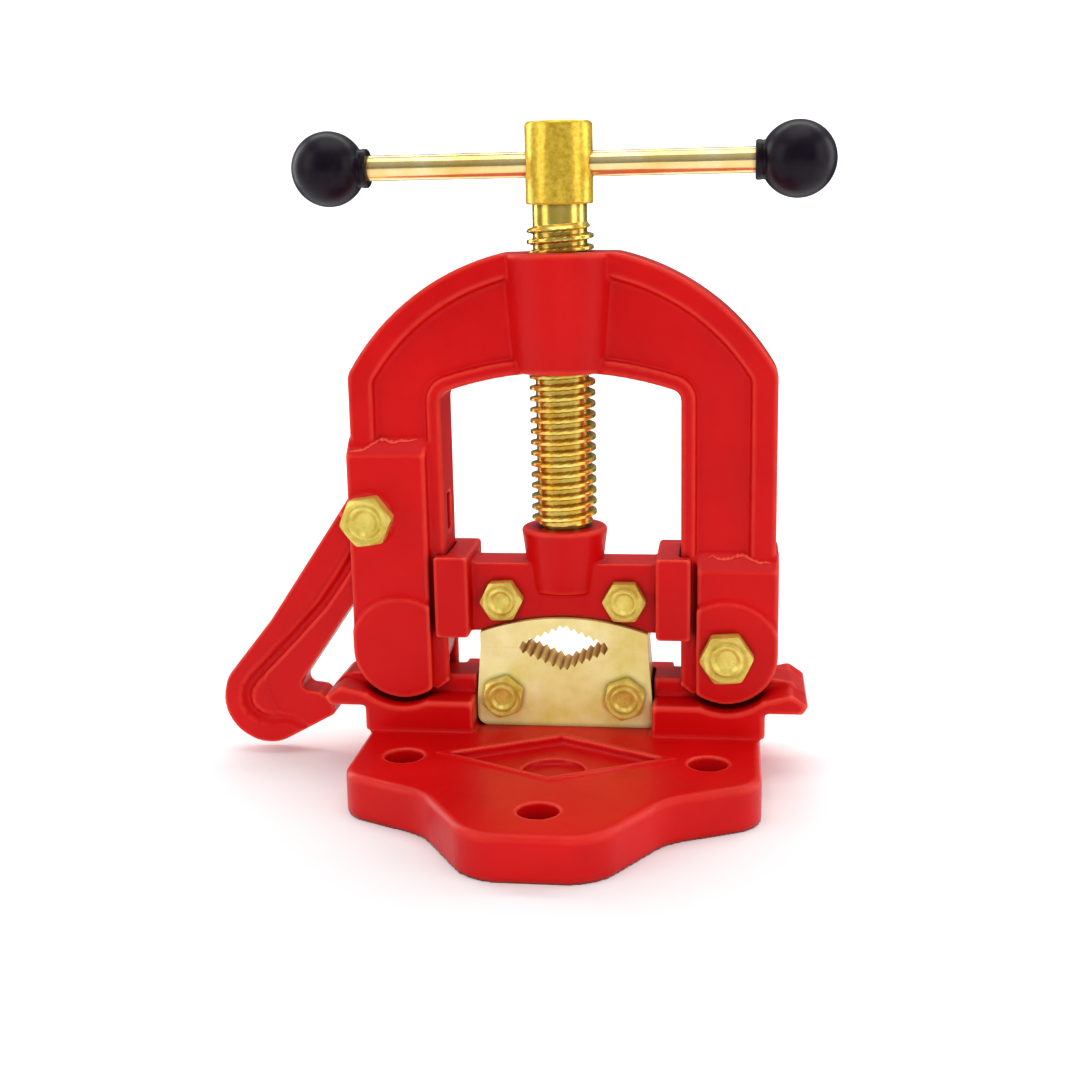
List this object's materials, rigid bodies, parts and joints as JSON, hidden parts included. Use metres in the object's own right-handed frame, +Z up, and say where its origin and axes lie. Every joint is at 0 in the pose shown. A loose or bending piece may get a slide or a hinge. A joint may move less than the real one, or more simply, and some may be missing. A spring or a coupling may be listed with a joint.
{
  "type": "pipe vise",
  "caption": "Hinged yoke pipe vise: screw-driven upper jaw over a toothed lower jaw, swing-over latch hook and a bench foot.",
  "frame": {"origin": "on the plane the foot stands on, straight below the screw's axis", "axes": "+X to the right with the hinge, -X to the latch hook, -Y towards the user and the foot's front lobe, +Z up along the screw"},
  "size_m": [0.2291, 0.1415, 0.2355],
  "materials": {
    "red_enamel": "satin-gloss red enamel on cast iron",
    "plated_jaw_steel": "hardened steel, pale gold plating, brushed",
    "plated_bolts": "yellow-plated steel fasteners",
    "plated_screw": "yellow-plated machined steel",
    "plated_bar": "polished yellow-plated steel",
    "bare_steel_pin": "ground steel",
    "black_knobs": "semi-gloss black"
  },
  "bodies": {
    "base": {"foot_plate": "red_enamel", "base_casting": "red_enamel", "lower_jaw": "plated_jaw_steel", "lower_jaw_bolt_left": "plated_bolts", "lower_jaw_bolt_right": "plated_bolts", "lower_jaw_nut_left": "plated_bolts", "lower_jaw_nut_right": "plated_bolts"},
    "yoke": {"yoke_casting": "red_enamel", "hinge_bolt": "plated_bolts", "hinge_washer": "plated_bolts", "hinge_nut": "plated_bolts", "hook_pivot_bolt": "plated_bolts", "hook_pivot_washer": "plated_bolts", "hook_pivot_nut": "plated_bolts"},
    "hook": {"latch_hook": "red_enamel"},
    "slider": {"slider_casting": "red_enamel", "upper_jaw": "plated_jaw_steel", "upper_jaw_bolt_left": "plated_bolts", "upper_jaw_bolt_right": "plated_bolts", "upper_jaw_nut_left": "plated_bolts", "upper_jaw_nut_right": "plated_bolts", "screw_retaining_pin_left": "bare_steel_pin", "screw_retaining_pin_right": "bare_steel_pin"},
    "screw": {"screw": "plated_screw"},
    "handle": {"handle_bar": "plated_bar", "knob_left": "black_knobs", "knob_right": "black_knobs"}
  },
  "joints": [
    {"name": "yoke_hinge", "type": "hinge", "parent": "base", "child": "yoke", "pos_m": [0.06, 0, 0.046], "axis": [0, 1, 0], "range_deg": [0, 75]},
    {"name": "hook_swing", "type": "hinge", "parent": "yoke", "child": "hook", "pos_m": [-0.0704, 0, 0.0958], "axis": [0, 1, 0], "range_deg": [-5.5, 55]},
    {"name": "slider_slide", "type": "slide", "parent": "yoke", "child": "slider", "axis": [0, 0, 1], "range_m": [0, 0.054]},
    {"name": "screw_turn", "type": "hinge", "parent": "slider", "child": "screw", "pos_m": [0, 0, 0.2208], "axis": [0, 0, 1], "range_deg": [0, 4860]},
    {"name": "handle_slide", "type": "slide", "parent": "screw", "child": "handle", "axis": [1, 0, 0], "range_m": [-0.056, 0.056]}
  ],
  "couplings": [
    {"joint": "slider_slide", "follows": "screw_turn", "m_per_rad": 0.00063662}
  ]
}
